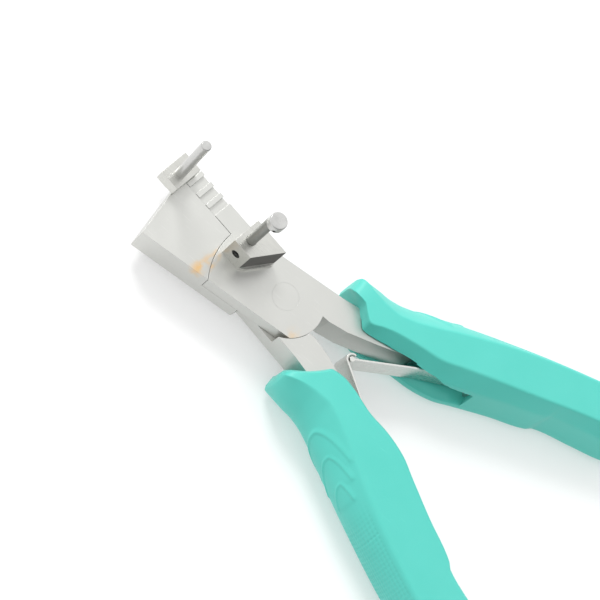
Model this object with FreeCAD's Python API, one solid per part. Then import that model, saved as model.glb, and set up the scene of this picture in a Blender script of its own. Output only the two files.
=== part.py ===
"""Reverse-action precision pliers with two gauge pins on the head.

Millimetres.  The tool lies on its back: +Z points out of the front face, +Y runs
along the centre line to the jaw tips and +X is the side of the grooved arm.
The origin is on the pivot axis, in the plane of the steel's back face.
"""
import FreeCAD, Part
import math
import os

# ---------------------------------------------------------------- head
steel_thickness = 9.6         # both levers, jaws and shanks
lap_clearance = 0.10          # between the two half-thickness plates of the lap joint
shoulder_clearance = 0.12     # round shoulders of the lap joint
parting_clearance = 0.12      # between the jaw and the arm, closed

head_half_width = 9.4         # left edge of the head, level with the pivot
head_flare = 7.3              # degrees that the head's left edge leans out
arm_lean = 7.5                # degrees that the arm leans out from the centre line
arm_width = 5.85
arm_length = 45.0             # pivot to the end of the arm
jaw_length = 41.4             # pivot to the jaw tip, along the parting line
jaw_tip_slope = 8.9           # degrees
upper_shoulder_radius = 22.0
lower_shoulder_radius = 11.6
shoulder_start = -20.0        # degrees; the upper shoulder's recess begins here
waist_half_width = 8.45       # lever edge above the pivot
waist_height = 7.3
plate_bottom = -9.0           # the half-thickness plates' sides end here
round_bottom = -13.0          # and their round lower ends reach down to here
plate_inset = 0.15            # the rear plate stands back from the front one's edge
shank_lap = 0.6               # how far a plate's lower end runs in over its own shank

pivot_radius = 2.5
pivot_head_radius = 3.9
pivot_head_height = 1.2
pivot_fit = 0.03              # radial clearance in the rear lever's bore

# ---------------------------------------------------------------- arm grooves
groove_width = 2.4
groove_pitch = 3.81
groove_depth = 1.0
groove_count = 4
last_groove_inset = 4.0       # centre of the groove nearest the tip, from the arm's end

# ---------------------------------------------------------------- pins and their blocks
pin_radius = 1.45
pin_spacing = 25.4
pin_offset = -1.8             # from the parting line, towards the jaw
tip_pin_above_groove = 1.5    # along the arm, from the last groove's centre
tip_pin_length = 19.8         # clear of its block
pin_chamfer = 0.25
block_left = -5.6             # both blocks, from the parting line
block_width = 9.1
jaw_relief = 0.20             # under the tip block, over the jaw
jaw_relief_side = 0.3         # it ends this far short of the parting line
jaw_relief_end = 0.8          # and runs this far past the jaw's tip

tip_block_height = 6.1        # along the arm
tip_block_thickness = 4.2
tip_pin_seat = 3.4            # depth of the pin's hole in the block
tip_pin_seat_step = 0.2       # the seated end is turned down by this radius
rib_clearance = 0.05
tip_screw_above_groove = 2.0
tip_screw_side = 2.6          # from the parting line
tip_screw_radius = 1.0
tip_screw_head_radius = 1.9
tip_screw_head_height = 2.0
tip_screw_thread = 3.2        # length inside the block
tip_socket_radius = 0.95
tip_socket_depth = 1.1

clamp_height = 9.5
clamp_above_pin = 2.8         # along the arm, from the turning pin's axis
clamp_below_pin_left = 3.3
clamp_below_pin_right = 8.4
clamp_foot_height = 1.2
clamp_foot_reach = 1.5
clamp_foot_inset = 1.2        # in from the block's sides
clamp_foot_right_reach = 0.3
clamp_floor = 0.6             # steel left under the turning pin
turning_end_gap = 0.1
set_screw_radius = 1.3
set_screw_recess = 0.7
set_screw_socket_radius = 0.75
set_screw_socket_depth = 0.9
clamp_screw_radius = 1.0
clamp_screw_head_radius = 1.9
clamp_screw_thread = 4.5      # length inside the block
clamp_screw_side = 1.6        # both, from the parting line
clamp_screws_from_pin = [0.9, -4.5]

collar_radius = 2.45
collar_thickness = 2.8
collar_offset = 1.0           # eccentric, towards the pivot
collar_bore_depth = 1.8
collar_spigot_radius = 0.85
collar_screw_radius = 0.45
collar_screw_length = 1.1
collar_screw_angle = 40.0     # degrees; it comes in from the lower left
collar_edge_break = 0.25
collar_pin_length = 14.1      # block face to collar
turning_fit = 0.04            # radial clearance of the turning pin in its block

# ---------------------------------------------------------------- shanks inside the grips
leaf_shelf = [(22.6, -54.4), (19.5, -56.3)]
shank_inner = [(3.2, -13.2), (4.6, -19.0), (8.0, -27.5), (12.4, -37.2), (17.0, -39.4),
               leaf_shelf[0], leaf_shelf[1], (21.6, -60.5), (33.8, -84.0)]
shank_outer = [(38.9, -81.5), (28.5, -57.0), (19.5, -36.0), (12.6, -17.5), (11.46, -12.5)]

# ---------------------------------------------------------------- grips
# each row: distance below the pivot, inner wall, inner ridge, outer ridge, outer side, thickness
grip_sections = [
    (12.0, 16.2, 14.8, 18.4, 18.9, 11.0),
    (12.7, 15.8, 13.9, 18.6, 20.0, 14.6),
    (14.2, 14.8, 13.5, 18.3, 20.9, 16.6),
    (17.0, 12.6, 13.0, 17.5, 21.8, 17.6),
    (19.4, 10.0, 10.9, 17.1, 22.2, 17.9),
    (21.8, 7.4, 9.3, 16.8, 22.4, 18.1),
    (25.4, 7.0, 11.0, 16.8, 23.3, 18.3),
    (29.0, 7.6, 12.4, 17.8, 24.8, 18.5),
    (37.0, 9.9, 14.2, 22.0, 28.7, 18.8),
    (43.0, 10.6, 15.4, 25.8, 31.8, 18.8),
    (50.0, 12.5, 18.6, 29.9, 35.0, 18.8),
    (56.0, 15.7, 21.3, 33.2, 37.5, 18.7),
    (66.0, 21.0, 25.6, 38.1, 41.6, 18.4),
    (76.6, 26.2, 30.2, 42.5, 45.7, 18.2),
    (78.4, 27.9, 31.0, 43.2, 46.4, 18.1),
    (90.0, 31.9, 35.8, 47.6, 50.5, 17.8),
    (99.0, 34.8, 38.8, 50.2, 53.0, 17.0),
    (104.4, 37.8, 41.0, 51.0, 53.6, 15.0),
    (106.4, 42.0, 43.6, 49.6, 51.2, 11.0),
]
grip_crease_rise = 0.46       # the inner wall ends this far above the middle, as a share of the half thickness
grip_crease_lean = 0.25       # and by then has come this share of the way out to the ridge
grip_edge_drop = 0.27         # chamfer at the wall's other edge, as a share of the half thickness
grip_edge_width = 1.6

# ---------------------------------------------------------------- leaf springs
leaf_thickness = 0.5
leaf_side_gap = 0.65          # the leaf is narrower than the steel by this, each side
leaf_apex = (0.0, -24.5)      # where the two leaves hook together
leaf_knee = (13.1, -42.4)
leaf_root_radius = 0.8
leaf_root_sink = 0.5          # the root's bead sits this deep in the tang's shelf
leaf_root_fit = 0.04
leaf_slot_clearance = 0.6     # each side of the leaf, in the grip
leaf_eye_radius = 1.75        # outside of the left leaf's eye
leaf_bead_radius = 0.75       # end of the right leaf
leaf_eye_start = -8.0         # degrees; open from here, clockwise, to the leaf
leaf_eye_lap = 1.0            # degrees that the eye runs in under the leaf
leaf_slot_top = -36.5
leaf_slot_bottom = -57.2
leaf_slot_behind = 1.0        # how far the slot runs past the shelf's corner
leaf_slot_slant = 4.0         # how far its outer end stands in at the top
window_top = -10.0            # the shank's inner face is bare from here to the slot
window_overlap = 0.5
window_depths = [2.5, 1.5, 2.0]   # into the grip, behind the shank's inner face

beyond = 60.0                 # cutters that must clear the whole head reach this far
overrun = 1.0                 # how far a cutter runs past the face it cuts


# ================================================================ helpers
def vec(x, y, z=0.0):
    return FreeCAD.Vector(x, y, z)


def polar(radius, degrees):
    """Point on a circle round the pivot; 0 is +X and 90 is +Y."""
    angle = math.radians(degrees)
    return (radius * math.cos(angle), radius * math.sin(angle))


def on_arm(along, across):
    """Point given along the parting line from the pivot, and across it to the right."""
    lean = math.radians(arm_lean)
    return (along * math.sin(lean) + across * math.cos(lean),
            along * math.cos(lean) - across * math.sin(lean))


def mirrored(points):
    """The same outline on the other side of the centre line, in the same turning order."""
    return [(-x, y) for x, y in reversed(points)]


def prism(points, low, high):
    """Straight-sided solid between two heights, over a closed polygon."""
    corners = [vec(x, y, low) for x, y in points]
    face = Part.Face(Part.makePolygon(corners + corners[:1]))
    return face.extrude(vec(0, 0, high - low))


def disc(radius, low, high, centre=(0.0, 0.0)):
    """Cylinder along Z."""
    return Part.makeCylinder(radius, high - low, vec(centre[0], centre[1], low))


def sector(radius, start, end, low, high):
    """Pie piece round the pivot, from one angle to another in degrees."""
    return Part.makeCylinder(radius, high - low, vec(0, 0, low), vec(0, 0, 1),
                             end - start).rotate(vec(0, 0, 0), vec(0, 0, 1), start)


def thick_path(points, thickness, low, high):
    """Strip of even thickness that follows a centre line, standing between two heights."""
    half = thickness / 2
    left, right = [], []
    last = len(points) - 1
    for i, (x, y) in enumerate(points):
        before = points[max(i - 1, 0)]
        after = points[min(i + 1, last)]
        first = math.atan2(y - before[1], x - before[0]) if i > 0 else None
        second = math.atan2(after[1] - y, after[0] - x) if i < last else None
        first = second if first is None else first
        second = first if second is None else second
        middle = (first + second) / 2
        reach = half / math.cos((second - first) / 2)
        left.append((x - reach * math.sin(middle), y + reach * math.cos(middle)))
        right.append((x + reach * math.sin(middle), y - reach * math.cos(middle)))
    return prism(left + right[::-1], low, high)


def save(name, shape):
    shape.exportStep(os.path.join("parts", name + ".step"))


# ================================================================ shared places
half_gap = lap_clearance / 2
mid = steel_thickness / 2
front = steel_thickness
block_right = block_left + block_width
last_groove = arm_length - last_groove_inset
tip_pin_place = last_groove + tip_pin_above_groove
collar_pin_place = tip_pin_place - pin_spacing
tip_pin_xy = on_arm(tip_pin_place, pin_offset)
collar_pin_xy = on_arm(collar_pin_place, pin_offset)
tip_screw_xy = on_arm(last_groove + tip_screw_above_groove, tip_screw_side)
clamp_bore_bottom = front + clamp_floor + turning_end_gap
leaf_width = steel_thickness - 2 * leaf_side_gap
shelf_run = vec(*leaf_shelf[0]) - vec(*leaf_shelf[1])
shelf_into = vec(shelf_run.y, -shelf_run.x).normalize()
shelf_middle = (vec(*leaf_shelf[0]) + vec(*leaf_shelf[1])) / 2 + shelf_into * leaf_root_sink
leaf_root = (shelf_middle.x, shelf_middle.y)
leaf_low = mid - leaf_width / 2
leaf_high = mid + leaf_width / 2


def head_edge(y):
    """Left edge of the head at a height above the pivot."""
    return -(head_half_width + y * math.tan(math.radians(head_flare)))


def joint_recess(low, high, clearance):
    """Room that one lever leaves for the other's plate."""
    upper = sector(upper_shoulder_radius + clearance, shoulder_start, 180 - shoulder_start, low, high)
    return upper.fuse(disc(lower_shoulder_radius + clearance, low, high))


def joint_limit(low, high):
    """Largest shape that a lever's half-thickness plate may have."""
    return joint_recess(low, high, -shoulder_clearance)


def pivot_bore(solid, clearance, head_low):
    """Solid with the pivot's bore and the seat of one of its heads."""
    solid = solid.cut(disc(pivot_radius + clearance, -overrun, front + overrun))
    return solid.cut(disc(pivot_head_radius + clearance, head_low, head_low + pivot_head_height))


# ================================================================ levers
def shank(side):
    """Full-thickness shank and tang, from the joint down into the grip."""
    outline = shank_outer + shank_inner
    return prism(outline if side > 0 else mirrored(outline), 0, front)


def leaf_root_groove(side):
    """Round groove in the tang's shelf that the leaf's bead turns in."""
    x, y = leaf_root
    return disc(leaf_root_radius + leaf_root_fit, -overrun, front + overrun, (side * x, y))


def front_lever():
    """Grooved arm, front plate of the joint and right shank."""
    gap = parting_clearance / 2
    crotch_x, crotch_y = shank_inner[0]
    outline = [
        on_arm(arm_length, gap),
        on_arm(arm_length, arm_width),
        on_arm(upper_shoulder_radius - overrun, arm_width),
        (waist_half_width, waist_height),
        shank_outer[-1],
        shank_outer[-2],
        shank_inner[1],
        (crotch_x, crotch_y),
        (crotch_x, plate_bottom),
        (head_edge(plate_bottom), plate_bottom),
        (head_edge(upper_shoulder_radius), upper_shoulder_radius),
        on_arm(upper_shoulder_radius, gap),
    ]
    solid = prism(outline, 0, front)
    solid = solid.multiFuse([front_plate_foot(), shank(1)])
    solid = solid.cut(joint_recess(-overrun, mid + half_gap, 0))
    left_region = prism([on_arm(beyond, gap), on_arm(-overrun, gap), (crotch_x, plate_bottom - overrun),
                         (0, -beyond), (-beyond, -beyond), (-beyond, beyond)], -overrun, front + overrun)
    solid = solid.cut(left_region.cut(joint_limit(-2 * overrun, front + 2 * overrun)))
    for index in range(groove_count):
        solid = solid.cut(arm_groove(last_groove - index * groove_pitch))
    solid = pivot_bore(solid, 0, front - pivot_head_height)
    for place in clamp_screw_places:
        solid = solid.cut(countersunk_screw(place))
    return solid.cut(tip_screw()).cut(leaf_root_groove(1)).removeSplitter()


def front_plate_foot():
    """Round lower end of the front plate."""
    reach = shank_inner[0][0] + shank_lap
    outline = [(head_edge(round_bottom), round_bottom), (reach, round_bottom), (waist_half_width, 0),
               (head_edge(0), 0)]
    foot = prism(outline, mid + half_gap, front)
    return foot.common(disc(lower_shoulder_radius - shoulder_clearance, 0, front))


def arm_groove(centre):
    """Square groove straight across the arm's front."""
    low, high = centre - groove_width / 2, centre + groove_width / 2
    outline = [on_arm(low, -overrun), on_arm(low, arm_width + overrun), on_arm(high, arm_width + overrun),
               on_arm(high, -overrun)]
    return prism(outline, front - groove_depth, front + overrun)


def jaw_tip():
    """Right and left corners of the jaw's sloping end."""
    right = on_arm(jaw_length, -parting_clearance / 2)
    slope = math.tan(math.radians(jaw_tip_slope))
    flare = math.tan(math.radians(head_flare))
    left_y = (right[1] - slope * (right[0] + head_half_width)) / (1 - slope * flare)
    return right, (head_edge(left_y), left_y)


def rear_lever():
    """Left jaw, rear plate of the joint and left shank."""
    gap = parting_clearance / 2
    crotch_x, crotch_y = shank_inner[0]
    plate_right = waist_half_width - plate_inset
    tip_right, tip_left = jaw_tip()
    outline = [
        tip_right,
        tip_left,
        (head_edge(waist_height), waist_height),
        (-waist_half_width, waist_height - shank_lap),
        (-shank_outer[-1][0], shank_outer[-1][1]),
        (-shank_outer[-2][0], shank_outer[-2][1]),
        (-shank_inner[1][0], shank_inner[1][1]),
        (-crotch_x, crotch_y),
        (-crotch_x, plate_bottom),
        (plate_right, plate_bottom),
        (plate_right, upper_shoulder_radius - 2 * overrun),
        on_arm(upper_shoulder_radius + overrun, arm_width - shank_lap),
        on_arm(upper_shoulder_radius + overrun, -gap),
    ]
    solid = prism(outline, 0, front)
    solid = solid.multiFuse([rear_plate_foot(), shank(-1)])
    solid = solid.cut(joint_recess(mid - half_gap, front + overrun, 0))
    right_region = prism([on_arm(beyond, -gap), (beyond, beyond), (beyond, -beyond), (0, -beyond),
                          (-crotch_x, plate_bottom - overrun), on_arm(-overrun, -gap)],
                         -overrun, front + overrun)
    solid = solid.cut(right_region.cut(joint_limit(-2 * overrun, front + 2 * overrun)))
    return pivot_bore(solid, pivot_fit, 0).cut(leaf_root_groove(-1)).removeSplitter()


def rear_plate_foot():
    """Round lower end of the rear plate."""
    reach = shank_inner[0][0] + shank_lap
    plate_right = waist_half_width - plate_inset
    outline = [(-reach, round_bottom), (plate_right, round_bottom), (plate_right, 0), (-waist_half_width, 0)]
    foot = prism(outline, 0, mid - half_gap)
    return foot.common(disc(lower_shoulder_radius - shoulder_clearance, 0, front))


def pivot_rivet():
    """Rivet with two flush heads."""
    shaft = disc(pivot_radius, 0, front)
    heads = [disc(pivot_head_radius, 0, pivot_head_height),
             disc(pivot_head_radius, front - pivot_head_height, front)]
    return shaft.multiFuse(heads).removeSplitter()


# ================================================================ blocks, pins and their screws
clamp_screw_places = [on_arm(collar_pin_place + along, clamp_screw_side) for along in clamp_screws_from_pin]


def hex_socket(start, direction, radius, depth):
    """Six-sided socket, drawn on the XY plane and turned to its direction."""
    socket = prism([polar(radius, 60 * i) for i in range(6)], -overrun, depth)
    socket.Placement = FreeCAD.Placement(start, FreeCAD.Rotation(vec(0, 0, 1), direction))
    return socket


def chamfered_pin(radius, low, high, place):
    """Pin with a chamfered free end."""
    shoulder = high - pin_chamfer
    end = Part.makeCone(radius, radius - pin_chamfer, pin_chamfer, vec(place[0], place[1], shoulder))
    return disc(radius, low, shoulder, place).fuse(end).removeSplitter()


def countersunk_screw(place):
    """Countersunk screw, its head flush with the inside of the front plate."""
    low = mid + half_gap
    head = Part.makeCone(clamp_screw_head_radius, clamp_screw_radius,
                         clamp_screw_head_radius - clamp_screw_radius, vec(place[0], place[1], low))
    shaft = disc(clamp_screw_radius, low, front + clamp_screw_thread, place)
    return head.fuse(shaft).removeSplitter()


def clamp_block():
    """Block that holds the turning pin, with its slanted underside and its foot."""
    top = collar_pin_place + clamp_above_pin
    left_bottom = collar_pin_place - clamp_below_pin_left
    right_bottom = collar_pin_place - clamp_below_pin_right
    body = [on_arm(top, block_left), on_arm(left_bottom, block_left),
            on_arm(right_bottom, block_right), on_arm(top, block_right)]
    toe = [on_arm(left_bottom - clamp_foot_reach, block_left + clamp_foot_inset),
           on_arm(right_bottom - clamp_foot_right_reach, block_right - clamp_foot_inset)]
    foot = body[:2] + toe + body[2:]
    block = prism(body, front, front + clamp_height)
    block = block.fuse(prism(foot, front, front + clamp_foot_height)).removeSplitter()
    block = block.cut(disc(pin_radius + turning_fit, front + clamp_floor,
                           front + clamp_height + overrun, collar_pin_xy))
    start, direction = set_screw_axis()
    block = block.cut(Part.makeCylinder(set_screw_radius, block_left_to_pin() + overrun,
                                        start - direction * overrun, direction))
    for place in clamp_screw_places:
        block = block.cut(countersunk_screw(place))
    return block


def set_screw_axis():
    """Start and direction of the set screw: from the block's left side to the pin."""
    start = on_arm(collar_pin_place, block_left)
    lean = math.radians(arm_lean)
    return vec(start[0], start[1], front + clamp_height / 2), vec(math.cos(lean), -math.sin(lean), 0)


def block_left_to_pin():
    """From the block's left side to the turning pin's surface."""
    return pin_offset - block_left - pin_radius


def block_set_screw():
    """Grub screw that locks the turning pin, below the surface of the block's side."""
    start, direction = set_screw_axis()
    start = start + direction * set_screw_recess
    length = block_left_to_pin() - set_screw_recess - turning_fit
    screw = Part.makeCylinder(set_screw_radius, length, start, direction)
    return screw.cut(hex_socket(start, direction, set_screw_socket_radius, set_screw_socket_depth))


def tip_block():
    """Block over the arm's end, keyed into the last groove and clear of the jaw."""
    half_rib = groove_width / 2 - rib_clearance
    gap = parting_clearance / 2
    bottom = last_groove - half_rib
    top = bottom + tip_block_height
    block = prism([on_arm(bottom, block_left), on_arm(bottom, block_right), on_arm(top, block_right),
                   on_arm(top, block_left)], front, front + tip_block_thickness)
    rib_top = last_groove + half_rib
    rib = prism([on_arm(bottom, gap), on_arm(bottom, block_right), on_arm(rib_top, block_right),
                 on_arm(rib_top, gap)], front - groove_depth, front + overrun)
    jaw_end = jaw_length + jaw_relief_end
    left_of_jaw = block_left - overrun
    over_jaw = prism([on_arm(bottom - overrun, left_of_jaw), on_arm(bottom - overrun, -jaw_relief_side),
                      on_arm(jaw_end, -jaw_relief_side), on_arm(jaw_end, left_of_jaw)],
                     front - overrun, front + jaw_relief)
    block = block.fuse(rib).removeSplitter().cut(over_jaw)
    block_face = front + tip_block_thickness
    block = block.cut(disc(pin_radius - tip_pin_seat_step, block_face - tip_pin_seat,
                           block_face + overrun, tip_pin_xy))
    return block.cut(tip_screw())


def tip_screw():
    """Cap screw from the back of the arm into the tip block."""
    head = disc(tip_screw_head_radius, 0, tip_screw_head_height, tip_screw_xy)
    return head.fuse(disc(tip_screw_radius, 0, front + tip_screw_thread, tip_screw_xy)).removeSplitter()


def tip_block_screw():
    """The same screw with its socket."""
    start = vec(tip_screw_xy[0], tip_screw_xy[1])
    return tip_screw().cut(hex_socket(start, vec(0, 0, 1), tip_socket_radius, tip_socket_depth))


def tip_pin():
    """Plain gauge pin that stands on the tip block, its thinner end pressed in."""
    block_face = front + tip_block_thickness
    seat = disc(pin_radius - tip_pin_seat_step, block_face - tip_pin_seat, block_face, tip_pin_xy)
    return chamfered_pin(pin_radius, block_face, block_face + tip_pin_length, tip_pin_xy).fuse(seat)


collar_low = front + clamp_height + collar_pin_length
collar_high = collar_low + collar_thickness
collar_xy = (collar_pin_xy[0], collar_pin_xy[1] - collar_offset)


def collar_pin():
    """Turning pin with a thinner spigot at its end for the collar."""
    pin = disc(pin_radius, clamp_bore_bottom, collar_low, collar_pin_xy)
    spigot = disc(collar_spigot_radius, collar_low, collar_low + collar_bore_depth, collar_pin_xy)
    return pin.fuse(spigot).removeSplitter()


def collar_screw(length):
    """Small locking screw that comes in from the collar's lower left."""
    angle = math.radians(collar_screw_angle)
    direction = vec(math.cos(angle), math.sin(angle))
    target = vec(collar_pin_xy[0], collar_pin_xy[1], collar_low + collar_bore_depth / 2)
    return Part.makeCylinder(collar_screw_radius, length, target - direction * collar_spigot_radius,
                             direction * -1)


def eccentric_collar():
    """Round collar set off centre on the turning pin."""
    collar = disc(collar_radius, collar_low, collar_high, collar_xy)
    rim = [edge for edge in collar.Edges if edge.Closed]
    collar = collar.makeChamfer(collar_edge_break, rim)
    collar = collar.cut(disc(collar_spigot_radius, collar_low - overrun, collar_low + collar_bore_depth,
                             collar_pin_xy))
    return collar.cut(collar_screw(2 * collar_radius))


def collar_set_screw():
    return collar_screw(collar_screw_length)


# ================================================================ grips
def grip_ring(row):
    """Level cross-section: chamfered edge, inner wall and slanted face, then the flat front between its
    ridges, the bowed outer side and the flat back."""
    below, wall, inner_ridge, outer_ridge, outer, thickness = row
    half = thickness / 2
    points = [
        (wall + grip_edge_width, mid - half),
        (wall, mid - half * (1 - grip_edge_drop)),
        (wall + grip_crease_lean * (inner_ridge - wall), mid + half * grip_crease_rise),
        (inner_ridge, mid + half),
        (outer_ridge, mid + half),
    ]
    points = [vec(x, -below, z) for x, z in points]
    inner_side = [Part.LineSegment(a, b).toShape() for a, b in zip(points, points[1:])]
    outer_low = vec(outer_ridge, -below, mid - half)
    outer_side = Part.Arc(points[-1], vec(outer, -below, mid), outer_low).toShape()
    return Part.Wire(inner_side + [outer_side, Part.LineSegment(outer_low, points[0]).toShape()])


def grip_body():
    """Right grip's outer form, lofted through its cross-sections."""
    return Part.makeLoft([grip_ring(row) for row in grip_sections], True, False)


def leaf_pocket():
    """Slot in the grip's inner side that the leaf spring swings in."""
    corner_x, corner_y = leaf_shelf[0]
    behind = corner_x + leaf_slot_behind
    reach = [(0, leaf_slot_top), (behind - leaf_slot_slant, leaf_slot_top), (behind, corner_y),
             (behind, leaf_slot_bottom), (0, leaf_slot_bottom)]
    return prism(reach, leaf_low - leaf_slot_clearance, leaf_high + leaf_slot_clearance)


def inner_shank_window():
    """The shank's inner face stays bare down to the slot."""
    upper, middle, lower = window_depths
    bottom = leaf_slot_top - window_overlap
    window = [(0, window_top), (shank_inner[1][0] + upper, window_top),
              (shank_inner[2][0] + middle, shank_inner[2][1]), (shank_inner[3][0] + lower, bottom),
              (0, bottom)]
    return prism(window, 0, front)


def right_grip():
    """Moulded grip with its slot, over the tang."""
    return grip_body().cut(leaf_pocket()).cut(shank(1)).cut(inner_shank_window())


def left_grip():
    """The same moulding as the right one, turned over."""
    grip = right_grip()
    grip.rotate(vec(0, 0, mid), vec(0, 1, 0), 180.0)
    return grip


# ================================================================ leaf springs
def leaf_strip(side, tip):
    """The leaf from its root to the hook, on one side of the centre line."""
    points = [leaf_root, leaf_knee, tip]
    return thick_path([(side * x, y) for x, y in points], leaf_thickness, leaf_low, leaf_high)


def leaf_bead(side):
    x, y = leaf_root
    return disc(leaf_root_radius, leaf_low, leaf_high, (side * x, y))


def right_leaf():
    """Ends in a bead that hooks into the other leaf's eye."""
    bead = disc(leaf_bead_radius, leaf_low, leaf_high, leaf_apex)
    return leaf_strip(1, leaf_apex).multiFuse([bead, leaf_bead(1)]).removeSplitter()


def left_leaf():
    """Ends in a rolled eye, open towards the other leaf."""
    x, y = leaf_apex
    middle = leaf_eye_radius - leaf_thickness / 2
    to_knee = math.degrees(math.atan2(leaf_knee[1] - y, -leaf_knee[0] - x)) % 360
    distance = math.hypot(leaf_knee[1] - y, -leaf_knee[0] - x)
    tangent = to_knee - math.degrees(math.acos(middle / distance))
    outer = Part.makeCylinder(leaf_eye_radius, leaf_width, vec(x, y, leaf_low), vec(0, 0, 1),
                              tangent + leaf_eye_lap - leaf_eye_start)
    outer.rotate(vec(x, y, 0), vec(0, 0, 1), leaf_eye_start)
    inner = disc(leaf_eye_radius - leaf_thickness, leaf_low - overrun, leaf_high + overrun, leaf_apex)
    start = polar(middle, tangent)
    strip = leaf_strip(-1, (-x - start[0], y + start[1]))
    return strip.multiFuse([outer.cut(inner), leaf_bead(-1)]).removeSplitter()


# ================================================================ build
nodes = {
    "front_lever": front_lever,
    "rear_lever": rear_lever,
    "pivot_rivet": pivot_rivet,
    "tip_pin_block": tip_block,
    "tip_pin": tip_pin,
    "tip_block_screw": tip_block_screw,
    "clamp_block": clamp_block,
    "block_set_screw": block_set_screw,
    "collar_pin": collar_pin,
    "eccentric_collar": eccentric_collar,
    "collar_set_screw": collar_set_screw,
    "left_grip": left_grip,
    "right_grip": right_grip,
    "left_leaf_spring": left_leaf,
    "right_leaf_spring": right_leaf,
}

os.makedirs("parts", exist_ok=True)
for name, build in nodes.items():
    save(name, build())
save("clamp_block_screws", Part.makeCompound([countersunk_screw(spot) for spot in clamp_screw_places]))
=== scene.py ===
"""Looks of the reverse-action pliers: satin steel head, gauge pins, leaf springs and moulded teal grips."""
import math

import bpy
import numpy as np
from mathutils import Matrix, Vector


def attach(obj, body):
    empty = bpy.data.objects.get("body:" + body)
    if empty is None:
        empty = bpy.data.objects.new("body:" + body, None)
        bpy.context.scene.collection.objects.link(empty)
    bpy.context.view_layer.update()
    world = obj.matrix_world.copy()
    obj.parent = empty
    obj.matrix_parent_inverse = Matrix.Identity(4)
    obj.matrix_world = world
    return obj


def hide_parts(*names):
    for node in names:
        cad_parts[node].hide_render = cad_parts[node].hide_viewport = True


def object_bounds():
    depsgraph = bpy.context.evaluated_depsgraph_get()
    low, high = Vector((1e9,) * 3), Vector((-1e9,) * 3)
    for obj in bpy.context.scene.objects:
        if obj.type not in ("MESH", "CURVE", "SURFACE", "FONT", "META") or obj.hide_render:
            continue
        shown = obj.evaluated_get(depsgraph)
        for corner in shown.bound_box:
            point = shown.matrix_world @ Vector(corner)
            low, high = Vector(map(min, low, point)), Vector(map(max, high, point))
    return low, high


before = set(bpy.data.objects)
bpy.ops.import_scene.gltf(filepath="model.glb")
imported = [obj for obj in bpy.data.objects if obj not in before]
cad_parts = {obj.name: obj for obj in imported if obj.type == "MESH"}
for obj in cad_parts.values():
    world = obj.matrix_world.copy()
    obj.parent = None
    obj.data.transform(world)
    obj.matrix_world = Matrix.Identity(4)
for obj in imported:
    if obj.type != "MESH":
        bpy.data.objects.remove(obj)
cad_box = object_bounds()

MM = 0.001
ARM_LEAN = 0.131              # radians; the arm and both blocks lean out this far


# ------------------------------------------------------------------ shader maths
class Sock:
    """A shader socket used in Python expressions; every operation on it adds its Math node."""

    def __init__(self, finish, socket):
        self.finish, self.socket = finish, socket

    def _math(self, operation, *terms):
        return self.finish.node("ShaderNodeMath", {"operation": operation}, dict(enumerate(terms)))

    def __add__(self, other):
        return self._math("ADD", self, other)

    def __radd__(self, other):
        return self._math("ADD", other, self)

    def __sub__(self, other):
        return self._math("SUBTRACT", self, other)

    def __rsub__(self, other):
        return self._math("SUBTRACT", other, self)

    def __mul__(self, other):
        return self._math("MULTIPLY", self, other)

    def __rmul__(self, other):
        return self._math("MULTIPLY", other, self)

    def swing(self, amount):
        """A 0 to 1 pattern turned into one that swings round nothing, by half the amount each way."""
        return (self - 0.5) * amount

    def ramp(self, low, high):
        """Smooth rise from 0 at low to 1 at high."""
        return self.finish.node("ShaderNodeMapRange", {"interpolation_type": "SMOOTHSTEP", "clamp": True},
                                {"Value": self, "From Min": low, "From Max": high})


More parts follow.
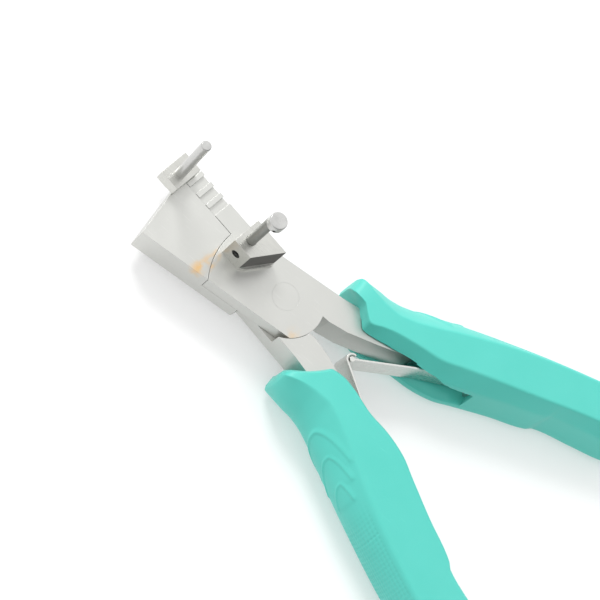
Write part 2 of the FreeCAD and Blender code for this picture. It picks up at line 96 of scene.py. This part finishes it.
class Finish:
    """One material's node tree, with one method that makes any node."""

    def __init__(self, name):
        self.material = bpy.data.materials.new(name)
        self.material.use_nodes = True
        self.tree = self.material.node_tree
        self.tree.nodes.clear()
        self.place = self.node("ShaderNodeTexCoord", output="Object")

    def node(self, kind, settings=None, inputs=None, output=0):
        """Adds a node: its settings first, then the values or links of its sockets."""
        made = self.tree.nodes.new(kind)
        for key, value in (settings or {}).items():
            setattr(made, key, value)
        for key, value in (inputs or {}).items():
            if isinstance(value, Sock):
                self.tree.links.new(value.socket, made.inputs[key])
            else:
                made.inputs[key].default_value = value
        return Sock(self, made.outputs[output]) if made.outputs else None

    def noise(self, size, detail=3.0, stretch=(1.0, 1.0, 1.0), turn=(0.0, 0.0, 0.0)):
        """Noise of a given grain size in millimetres; stretch is how much longer a grain is on each axis."""
        scale = tuple(1.0 / s for s in stretch)
        where = self.node("ShaderNodeMapping", None, {"Vector": self.place, "Scale": scale, "Rotation": turn})
        return self.node("ShaderNodeTexNoise", None,
                         {"Vector": where, "Scale": 1.0 / (size * MM), "Detail": detail}, "Fac")

    def near(self, spot, reach, stretch=(1.0, 1.0, 1.0)):
        """1 at a spot given in millimetres, falling smoothly to 0 at its reach."""
        away = self.node("ShaderNodeVectorMath", {"operation": "SUBTRACT"},
                         {0: self.place, 1: tuple(c * MM for c in spot)})
        away = self.node("ShaderNodeVectorMath", {"operation": "DIVIDE"}, {0: away, 1: stretch})
        length = self.node("ShaderNodeVectorMath", {"operation": "LENGTH"}, {0: away}, "Value")
        return 1.0 - length.ramp(0.0, reach * MM)

    def mix(self, factor, low, high):
        """Colour mix."""
        inputs = {0: factor}
        for key, value in ((6, low), (7, high)):
            inputs[key] = value if isinstance(value, Sock) else (*value, 1.0)
        return self.node("ShaderNodeMix", {"data_type": "RGBA"}, inputs, 2)

    def bump(self, height, depth, normal=None):
        """Bump whose height of 1 stands for a depth in millimetres."""
        inputs = {"Height": height, "Distance": depth * MM}
        if normal is not None:
            inputs["Normal"] = normal
        return self.node("ShaderNodeBump", None, inputs)

    def surface(self, **inputs):
        """Ends the tree with a Principled surface; underscores in the names stand for spaces."""
        named = {key.replace("_", " "): value for key, value in inputs.items()}
        shader = self.node("ShaderNodeBsdfPrincipled", None, named)
        self.node("ShaderNodeOutputMaterial", None, {"Surface": shader})
        return self.material


def everyday(red, green, blue):
    """Linear colour of an everyday 0 to 255 colour."""
    return tuple(((c / 255 + 0.055) / 1.055) ** 2.4 for c in (red, green, blue))


# ------------------------------------------------------------------ finishes
AMBER = everyday(228, 188, 128)
BLASTED_DARK, BLASTED_LIGHT = everyday(192, 193, 189), everyday(219, 219, 215)
HANDLED = everyday(240, 240, 238)
# painted shade: the dark of the clamp's underside where its shadow falls, clouded between these two
UNDERSIDE_SHADE_DARK, UNDERSIDE_SHADE_LIGHT = everyday(62, 60, 60), everyday(104, 101, 99)
UNDERSIDE_SHADE_STARTS, UNDERSIDE_SHADE_FULL = 10.7, 11.0     # millimetres up; the painted shade on the clamp's underside begins above the block's foot
STRIP_DARK, STRIP_LIGHT = everyday(202, 203, 199), everyday(234, 234, 230)
TEAL_DARK, TEAL_LIGHT, TEAL_SCUFF = everyday(79, 193, 180), everyday(92, 202, 190), everyday(134, 230, 220)
EDGE_ROUNDING = 0.14
FINE_ROUNDING = 0.08          # on the turned pieces
STRIP_ROUNDING = 0.06         # on the leaf springs


def soft_edges(finish, radius=EDGE_ROUNDING):
    """Normal with the sharp edges rounded off by a radius in millimetres."""
    return finish.node("ShaderNodeBevel", {"samples": 4}, {"Radius": radius * MM})


def blasted_steel(name, tint_spots=()):
    """Fine bead-blasted stainless steel: cloudy tone, peened grain, faint handling marks and heat tint.
    A tint spot is its place and reach in millimetres, its stretch on each axis and its strength."""
    finish = Finish(name)
    clouds = finish.noise(9.0, 2.0)
    grain = finish.noise(0.16, 4.0)
    pits = finish.noise(0.45, 2.0)
    marks = finish.noise(0.22, 2.0, stretch=(1.0, 26.0, 1.0), turn=(0.0, 0.0, 0.35)).ramp(0.66, 0.78)
    colour = finish.mix(clouds.swing(0.14) + grain.swing(0.22) + 0.5, BLASTED_DARK, BLASTED_LIGHT)
    colour = finish.mix(marks * 0.35, colour, HANDLED)
    for spot, reach, stretch, strength in tint_spots:
        ragged = finish.near(spot, reach, stretch) * finish.noise(2.6, 3.0).ramp(0.34, 0.62)
        colour = finish.mix(ragged * strength, colour, AMBER)
    rough = 0.40 + clouds.swing(0.10) + grain.swing(0.12) - marks * 0.06
    normal = finish.bump(grain * 0.7 + pits * 0.5, 0.012, soft_edges(finish))
    return finish.surface(Base_Color=colour, Roughness=rough, Normal=normal, Metallic=1.0)


def machined_steel(name, base, shaded_side=None):
    """Steel with the fine parallel lines of a cutter, stretched along the arm; faces turned to the shaded
    side get painted shade, dark and clouded, above the block's foot, in place of their shadow."""
    finish = Finish(name)
    lines = finish.noise(0.12, 2.0, stretch=(1.0, 30.0, 1.0), turn=(0.0, 0.0, ARM_LEAN))
    clouds = finish.noise(4.0, 2.0)
    dark = tuple(c - 26 for c in base)
    colour = finish.mix(lines.swing(0.9) + clouds.swing(0.4) + 0.5, everyday(*dark), everyday(*base))
    rough = 0.30 + lines.swing(0.16) + clouds.swing(0.08)
    # painted shade: faces turned down to the shaded side are darkened where the shadow under the block falls
    if shaded_side:
        facing = finish.node("ShaderNodeNewGeometry", output="True Normal")
        turned = finish.node("ShaderNodeVectorMath", {"operation": "DOT_PRODUCT"},
                             {0: facing, 1: shaded_side}, "Value").ramp(0.80, 0.90)
        height = finish.node("ShaderNodeSeparateXYZ", None, {"Vector": finish.place}, "Z")
        turned = turned * height.ramp(UNDERSIDE_SHADE_STARTS * MM, UNDERSIDE_SHADE_FULL * MM)
        # painted shade colour, standing in for the underside's shadow
        painted_shade = finish.mix(clouds, UNDERSIDE_SHADE_DARK, UNDERSIDE_SHADE_LIGHT)
        colour = finish.mix(turned * 0.92, colour, painted_shade)
        rough = rough + turned * 0.2
    normal = finish.bump(lines, 0.010, soft_edges(finish))
    return finish.surface(Base_Color=colour, Roughness=rough, Normal=normal, Metallic=1.0)


def turned_steel(name, base, rough):
    """Round stock with the fine rings that turning and grinding leave."""
    finish = Finish(name)
    rings = finish.noise(0.10, 3.0, stretch=(40.0, 40.0, 1.0))
    smears = finish.noise(2.2, 2.0)
    dark = tuple(c * 0.82 for c in base)
    colour = finish.mix(rings.swing(0.8) + smears.swing(0.5) + 0.5, everyday(*dark), everyday(*base))
    ringed = rough + rings.swing(0.12) + smears.swing(0.10)
    normal = finish.bump(rings, 0.006, soft_edges(finish, FINE_ROUNDING))
    return finish.surface(Base_Color=colour, Roughness=ringed, Normal=normal, Metallic=1.0)


def strip_steel(name, lean):
    """Rolled spring strip: bright, with faint lines along its length, which leans by an angle in radians."""
    finish = Finish(name)
    lines = finish.noise(0.14, 2.0, stretch=(1.0, 40.0, 1.0), turn=(0.0, 0.0, lean))
    clouds = finish.noise(3.0, 2.0)
    colour = finish.mix(lines.swing(0.7) + clouds.swing(0.5) + 0.5, STRIP_DARK, STRIP_LIGHT)
    rough = 0.27 + lines.swing(0.14) + clouds.swing(0.08)
    normal = finish.bump(lines, 0.005, soft_edges(finish, STRIP_ROUNDING))
    return finish.surface(Base_Color=colour, Roughness=rough, Normal=normal, Metallic=1.0)


def moulded_teal(name):
    """Static-dissipative moulded plastic: even teal with a fine eroded-mould texture and soft flow clouds."""
    finish = Finish(name)
    clouds = finish.noise(14.0, 2.0)
    texture = finish.noise(0.28, 4.0)
    scuffs = finish.noise(0.35, 2.0, stretch=(1.0, 18.0, 1.0), turn=(0.0, 0.0, 0.5)).ramp(0.68, 0.82)
    colour = finish.mix(clouds.swing(0.8) + texture.swing(0.25) + 0.5, TEAL_DARK, TEAL_LIGHT)
    colour = finish.mix(scuffs * 0.18, colour, TEAL_SCUFF)
    rough = 0.44 + texture.swing(0.16) + clouds.swing(0.06) - scuffs * 0.05
    return finish.surface(Base_Color=colour, Roughness=rough, Normal=finish.bump(texture, 0.020),
                          IOR=1.49, Specular_IOR_Level=0.42, Subsurface_Weight=0.12,
                          Subsurface_Radius=(0.35, 1.0, 0.9), Subsurface_Scale=0.0016)


def paint(node, material):
    """Gives a CAD node its finish."""
    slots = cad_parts[node].data.materials
    slots.clear()
    slots.append(material)


LEAF_LEAN = 0.63              # radians, outwards on both sides
jaw_tints = [((-10.6, 22.4, 9.6), 5.0, (1.3, 0.6, 1.0), 0.9),
             ((-6.0, 21.6, 9.6), 5.0, (1.6, 0.25, 1.0), 0.5)]
plate_tints = [((-8.5, 20.2, 9.6), 6.0, (1.6, 0.22, 1.0), 0.65),
               ((-7.6, -8.4, 9.6), 4.5, (1.0, 0.8, 1.0), 0.45)]
paint("front_lever", blasted_steel("blasted_steel_front", plate_tints))
paint("rear_lever", blasted_steel("blasted_steel_rear", jaw_tints))
paint("pivot_rivet", blasted_steel("blasted_steel_rivet"))
paint("tip_pin_block", machined_steel("machined_steel_tip", (216, 216, 211)))
# the clamp's slanted underside gets painted shade
paint("clamp_block", machined_steel("machined_steel_clamp", (218, 218, 213), shaded_side=(-0.6, -0.8, 0.0)))
paint("tip_pin", turned_steel("ground_pin_steel", (214, 214, 212), 0.30))
paint("eccentric_collar", turned_steel("collar_steel", (216, 216, 214), 0.26))
paint("collar_pin", turned_steel("dark_pin_steel", (156, 157, 153), 0.36))
blackened = turned_steel("blackened_screw_steel", (70, 72, 72), 0.42)
for screw in ("tip_block_screw", "clamp_block_screws", "block_set_screw", "collar_set_screw"):
    paint(screw, blackened)
paint("left_leaf_spring", strip_steel("spring_strip_left", LEAF_LEAN))
paint("right_leaf_spring", strip_steel("spring_strip_right", -LEAF_LEAN))


# ------------------------------------------------------------------ grips
# millimetres; each row: below the pivot, inner wall, inner ridge, outer ridge, outer side, thickness
GRIP_ROWS = np.array([
    (12.0, 16.2, 14.8, 18.4, 18.9, 11.0),
    (12.7, 15.8, 13.9, 18.6, 20.0, 14.6),
    (14.2, 14.8, 13.5, 18.3, 20.9, 16.6),
    (17.0, 12.6, 13.0, 17.5, 21.8, 17.6),
    (19.4, 10.0, 10.9, 17.1, 22.2, 17.9),
    (21.8, 7.4, 9.3, 16.8, 22.4, 18.1),
    (25.4, 7.0, 11.0, 16.8, 23.3, 18.3),
    (29.0, 7.6, 12.4, 17.8, 24.8, 18.5),
    (37.0, 9.9, 14.2, 22.0, 28.7, 18.8),
    (43.0, 10.6, 15.4, 25.8, 31.8, 18.8),
    (50.0, 12.5, 18.6, 29.9, 35.0, 18.8),
    (56.0, 15.7, 21.3, 33.2, 37.5, 18.7),
    (66.0, 21.0, 25.6, 38.1, 41.6, 18.4),
    (76.6, 26.2, 30.2, 42.5, 45.7, 18.2),
    (78.4, 27.9, 31.0, 43.2, 46.4, 18.1),
    (90.0, 31.9, 35.8, 47.6, 50.5, 17.8),
    (99.0, 34.8, 38.8, 50.2, 53.0, 17.0),
    (104.4, 37.8, 41.0, 51.0, 53.6, 15.0),
    (106.4, 42.0, 43.6, 49.6, 51.2, 11.0),
])
GRIP_TOP, GRIP_BOTTOM = GRIP_ROWS[0, 0], GRIP_ROWS[-1, 0]
STEEL_MID = 4.8               # middle of the steel's thickness, which the grips are turned over about
RELIEF_FADE = 0.12            # over which the slot's and the relief's edges run out

# the spring's slot: half its height at the back, its ends, and two lists of (below the pivot, value) for how
# high its front edge is, which comes down below the leaf's knee, and how far out its back wall is
SLOT_HALF = 4.75
SLOT_TOP, SLOT_BOTTOM = 36.5, 57.2
SLOT_FRONT = [(45.0, 4.75), (48.5, 3.4), (57.2, 2.2)]
SLOT_BACK = [(10.0, 9.0), (22.0, 10.8), (30.0, 13.6), (36.4, 16.6), (36.6, 19.6), (54.4, 23.6), (57.2, 23.6)]

# the relief round the shank: half its height, and where it begins and ends below the pivot
LIP_HALF = 5.0
LIP_TOP, LIP_BOTTOM = (12.2, 12.6), (38.5, 38.8)

# the inner side: where the wall ends above the middle and out towards the ridge, the chamfer at the wall's
# other edge as a share of the half thickness and its width, and how far along the side its three faces end
CREASE_RISE, CREASE_LEAN = 0.46, 0.25
EDGE_DROP, EDGE_WIDTH = 0.27, 1.6
INNER_STOPS = (0.0, 0.16, 0.60, 1.0)
RIDGE_SOFTNESS = 0.04         # share of one side that a ridge is averaged over
RIDGE_PLACES = 9


def row_values(below):
    """Cubic through the rows that never overshoots: between two rows each value follows a Hermite curve, and
    a row's slope is the harmonic mean of the slopes on its two sides, or nothing where they disagree."""
    knots, values = GRIP_ROWS[:, 0], GRIP_ROWS[:, 1:]
    secants = np.diff(values, axis=0) / np.diff(knots)[:, None]
    before, after = secants[:-1], secants[1:]
    agree = before * after > 0
    inside = np.where(agree, 2 * before * after / np.where(agree, before + after, 1), 0)
    slopes = np.concatenate([secants[:1], inside, secants[-1:]])
    i = np.clip(np.searchsorted(knots, below) - 1, 0, len(knots) - 2)
    span = (knots[i + 1] - knots[i])[:, None]
    t = ((below - knots[i])[:, None]) / span
    return ((2 * t**3 - 3 * t**2 + 1) * values[i] + (t**3 - 2 * t**2 + t) * span * slopes[i]
            + (3 * t**2 - 2 * t**3) * values[i + 1] + (t**3 - t**2) * span * slopes[i + 1])


def outline(side, rows):
    """A section's outline: side runs 0 to 1 up the inner side, to 2 across the front, to 3 down the outer
    side and to 4 across the back.  The inner side is three straight faces, a chamfered edge, the wall and the
    slanted face; the outer side is a parabola in height; the front and back are straight.  Returns across and
    height, one row of the grid for each section."""
    wall, inner_ridge, outer_ridge, outer, thick = (rows[:, k:k + 1] for k in range(5))
    side = np.mod(side, 4.0)[None, :]
    half = thick / 2
    part = side - np.floor(side)
    stops_x = [wall + EDGE_WIDTH, wall, wall + CREASE_LEAN * (inner_ridge - wall), inner_ridge]
    stops_h = [-half, -half * (1 - EDGE_DROP), half * CREASE_RISE, half]
    inner_x, inner_h = stops_x[0] + 0 * part, stops_h[0] + 0 * part
    for k in range(3):
        share = np.clip((part - INNER_STOPS[k]) / (INNER_STOPS[k + 1] - INNER_STOPS[k]), 0, 1)
        inner_x = inner_x + share * (stops_x[k + 1] - stops_x[k])
        inner_h = inner_h + share * (stops_h[k + 1] - stops_h[k])
    down = 1 - 2 * part
    front_x = inner_ridge + (outer_ridge - inner_ridge) * part
    outer_x = outer - (outer - outer_ridge) * down**2
    back_x = outer_ridge + (stops_x[0] - outer_ridge) * part
    pieces = [side < 1, side < 2, side < 3]
    across = np.select([p + 0 * half > 0 for p in pieces], [inner_x, front_x, outer_x], back_x)
    height = np.select([p + 0 * half > 0 for p in pieces], [inner_h, half + 0 * part, down * half],
                       -half + 0 * part)
    return across, height


def smooth_outline(side, rows):
    """The outline with soft ridges: the mean of the outline at several places round each point."""
    shifts = np.linspace(-1, 1, RIDGE_PLACES) * RIDGE_SOFTNESS
    both = [outline(side + shift, rows) for shift in shifts]
    return np.mean([b[0] for b in both], axis=0), np.mean([b[1] for b in both], axis=0)


def rise(values, low, high):
    """Smooth step from 0 at low to 1 at high: 3 t squared less 2 t cubed."""
    t = np.clip((values - low) / (high - low), 0, 1)
    return t * t * (3 - 2 * t)


# raised arches on the outer side, as they stand on the left grip: each one's point and feet below the pivot,
# its point's height above the middle, and how fast its legs towards the front and towards the back spread
ARCHES = [(28.5, 40.5, 3.5, 1.55, 3.1), (35.2, 43.8, 3.9, 1.35, 2.3), (42.0, 47.6, 4.4, 0.85, 2.0)]
ARCH_WIDTH, ARCH_HEIGHT, ARCH_FIELD = 0.42, 0.55, 0.22


def arch_height(below, up):
    """Ribs along parabolas that point to the head: a bell curve of the distance from each parabola, and a
    slightly raised field inside it.  A leg's sideways spread is its own rate times the root of its length."""
    total = np.zeros(np.broadcast(below, up).shape)
    for point, foot, middle, front_spread, back_spread in ARCHES:
        spread = np.where(up > middle, front_spread, back_spread)
        reach = (up - middle) / spread
        inside = below - point - reach**2
        away = inside / np.sqrt(1 + (2 * reach / spread)**2)
        fade = 1 - rise(below, foot - 1.2, foot + 0.4)
        field = ARCH_FIELD * rise(away, -0.3, 0.6)
        total = np.maximum(total, fade * np.maximum(ARCH_HEIGHT * np.exp(-(away / ARCH_WIDTH)**2), field))
    return total


DIMPLE_PITCH, DIMPLE_DEPTH = 1.1, 0.24
DIMPLE_TOP, DIMPLE_BOTTOM, DIMPLE_EDGE = (48, 54), (92, 96), (7.6, 8.6)   # where their field fades in and out


def dimple_depth(below, height):
    """Shallow dimples in staggered rows: the product of two cosines, kept above zero, in the grip's field."""
    wave = np.cos(np.pi * (below + height) / DIMPLE_PITCH) * np.cos(np.pi * (below - height) / DIMPLE_PITCH)
    field = rise(below, *DIMPLE_TOP) * (1 - rise(below, *DIMPLE_BOTTOM))
    field = field * (1 - rise(np.abs(height), *DIMPLE_EDGE))
    return DIMPLE_DEPTH * np.maximum(wave, 0) * field


def section_places():
    """How far below the pivot the sections lie: evenly spaced, and closer at the ends of grip and slot."""
    top = GRIP_TOP + 0.9 * (1 - np.cos(np.linspace(0, np.pi / 2, 10)))
    bottom = GRIP_BOTTOM - np.geomspace(0.02, 2, 12)
    steps = [stop + np.linspace(-0.3, 0.3, 5) for stop in (SLOT_TOP, SLOT_BOTTOM)]
    evenly = np.arange(GRIP_TOP, GRIP_BOTTOM + 0.01, 0.33)
    return np.unique(np.concatenate([evenly, top, bottom] + steps).round(4))


def side_places():
    """Where the points lie round a section, 0 to 4: closer along the inner side, and closest at the slot's
    and the relief's edges."""
    edges = [stop + np.linspace(-0.02, 0.025, 12) for stop in (0.24, 0.64)]
    inner = np.unique(np.concatenate([np.linspace(0, 1, 84, endpoint=False)] + edges))
    others = [np.linspace(first, first + 1, count, endpoint=False)
              for first, count in ((1, 34), (2, 66), (3, 34))]
    return np.concatenate([inner] + others)


def relieved(across, below, height):
    """The inner side pushed back to a wall inside the spring's slot and inside the relief round the shank:
    each is a product of smooth steps in height and in distance below the pivot."""
    wall = np.interp(below, *np.array(SLOT_BACK).T)
    front = np.interp(below, *np.array(SLOT_FRONT).T)
    slot = 1 - rise(-height, SLOT_HALF, SLOT_HALF + RELIEF_FADE)
    slot = slot * (1 - rise(height, front, front + RELIEF_FADE))
    slot = slot * rise(below, SLOT_TOP, SLOT_TOP + RELIEF_FADE)
    slot = slot * (1 - rise(below, SLOT_BOTTOM, SLOT_BOTTOM + RELIEF_FADE))
    lip = (1 - rise(np.abs(height), LIP_HALF, LIP_HALF + RELIEF_FADE)) * (1 - rise(below, *LIP_BOTTOM))
    pushed = np.maximum(slot, lip * rise(below, *LIP_TOP))
    return across + pushed * np.maximum(wall - across, 0)


def closed_skin(name, points, material):
    """Piece whose surface is a grid of sections by places round them, closed by a fan at each end."""
    count, around = points.shape[:2]
    caps = points[[0, -1]].mean(axis=1)
    vertices = np.concatenate([points.reshape(-1, 3), caps]) * MM
    here = np.arange(around)
    following = (here + 1) % around
    start = (np.arange(count - 1) * around)[:, None]
    quads = np.stack([start + here + around, start + following + around, start + following, start + here],
                     axis=-1)
    last = (count - 1) * around
    top, bottom = (np.full(around, count * around + k) for k in (0, 1))
    fans = [np.stack([top, here, following], axis=-1),
            np.stack([bottom, last + following, last + here], axis=-1)]
    mesh = bpy.data.meshes.new(name)
    mesh.from_pydata(vertices.tolist(), [], quads.reshape(-1, 4).tolist() + np.concatenate(fans).tolist())
    mesh.polygons.foreach_set("use_smooth", np.ones(len(mesh.polygons), dtype=bool))
    mesh.update()
    made = bpy.data.objects.new(name, mesh)
    bpy.context.scene.collection.objects.link(made)
    made.data.materials.append(material)
    return made


def grip(name, hand, material):
    """Grip on one side: hand is 1 for +X and -1 for -X, the same moulding turned over about its length.

    A point's distance across is the smoothed outline of its level section.  The slot and the relief move the
    inner side, the arches and dimples the outer side.  The arches are given as they stand on the left grip,
    which is turned over, so their height is measured downwards here."""
    places, side = section_places(), side_places()
    across, height = smooth_outline(side, row_values(places))
    below = np.broadcast_to(places[:, None], across.shape)
    across = np.where(side < 1, relieved(across, below, height), across)
    raised = arch_height(below, -height) - dimple_depth(below, height)
    across = across + raised * ((side >= 2) & (side < 3))
    points = np.stack([hand * across, -below, hand * height + STEEL_MID], axis=-1)
    return closed_skin(name, points, material)


teal = moulded_teal("moulded_teal")
for name, node, body, hand in (("left_grip_moulding", "left_grip", "rear_half", -1),
                               ("right_grip_moulding", "right_grip", "front_half", 1)):
    moulding = grip(name, hand, teal)
    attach(moulding, body)
    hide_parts(node)


# ------------------------------------------------------------------ floor, light and camera
FLOOR_TONE, FLOOR_GLOW, FLOOR_REACH, FLOOR_GAP = 0.62, 0.36, 6.0, 0.0002
BRIGHT_SIDE = (0.25, 0.55, 0.80)        # where the surroundings are brightest
DIM, BRIGHT = 0.38, 1.10
WHITE = (1.0, 1.0, 1.0, 1.0)


def floor(level):
    """Large pale plane with a little light of its own."""
    finish = Finish("pale_floor")
    material = finish.surface(Base_Color=(FLOOR_TONE, FLOOR_TONE, FLOOR_TONE, 1.0), Roughness=0.9,
                              Specular_IOR_Level=0.1, Emission_Color=WHITE, Emission_Strength=FLOOR_GLOW)
    corners = [(x * FLOOR_REACH, y * FLOOR_REACH, level) for x, y in ((-1, -1), (1, -1), (1, 1), (-1, 1))]
    mesh = bpy.data.meshes.new("floor")
    mesh.from_pydata(corners, [], [(0, 1, 2, 3)])
    made = bpy.data.objects.new("floor", mesh)
    bpy.context.scene.collection.objects.link(made)
    made.data.materials.append(material)


def soft_light(name, place, aim, size, power):
    """Square area light that looks at a point."""
    data = bpy.data.lights.new(name, "AREA")
    data.shape = "SQUARE"
    data.size = size
    data.energy = power
    made = bpy.data.objects.new(name, data)
    bpy.context.scene.collection.objects.link(made)
    back = (Vector(place) - Vector(aim)).normalized()
    made.matrix_world = Matrix.Translation(place) @ back.to_track_quat("Z", "Y").to_matrix().to_4x4()


def studio():
    """Soft white surroundings: brightest overhead and beyond the head, dimmer low on the grips' side."""
    world = bpy.data.worlds.new("studio")
    world.use_nodes = True
    tree = world.node_tree
    where = tree.nodes.new("ShaderNodeTexCoord")
    towards = tree.nodes.new("ShaderNodeVectorMath")
    towards.operation = "DOT_PRODUCT"
    towards.inputs[1].default_value = BRIGHT_SIDE
    tree.links.new(where.outputs["Generated"], towards.inputs[0])
    strength = tree.nodes.new("ShaderNodeMapRange")
    strength.interpolation_type = "SMOOTHSTEP"
    for key, value in (("From Min", -0.5), ("From Max", 0.75), ("To Min", DIM), ("To Max", BRIGHT)):
        strength.inputs[key].default_value = value
    tree.links.new(towards.outputs["Value"], strength.inputs["Value"])
    tree.links.new(strength.outputs[0], tree.nodes["Background"].inputs["Strength"])
    tree.nodes["Background"].inputs["Color"].default_value = WHITE
    bpy.context.scene.world = world


def look(name, aim, distance, azimuth, tilt, roll, lens):
    """Camera at a distance from the point it aims at, in millimetres: tilted from straight above, towards an
    azimuth from +X, and rolled about its own view, in degrees."""
    data = bpy.data.cameras.new(name)
    data.lens = lens
    data.sensor_width = 36.0
    data.clip_start = 0.01
    made = bpy.data.objects.new(name, data)
    bpy.context.scene.collection.objects.link(made)
    turns = ((azimuth, "Z"), (tilt, "Y"), (roll, "Z"))
    turned = Matrix.Identity(4)
    for angle, axis in turns:
        turned = turned @ Matrix.Rotation(math.radians(angle), 4, axis)
    aim = Vector(aim) * MM
    made.matrix_world = Matrix.Translation(aim) @ turned @ Matrix.Translation((0.0, 0.0, distance * MM))
    bpy.context.scene.camera = made


floor(cad_box[0][2] - FLOOR_GAP)
soft_light("key", place=(0.45, 0.70, 0.80), aim=(0.0, -0.03, 0.0), size=0.35, power=7.2)
studio()
bpy.context.scene.view_settings.view_transform = "Standard"
look("camera", aim=(4.81, -4.05, 4.8), distance=536.1, azimuth=168.86, tilt=29.42, roll=142.04, lens=120.0)
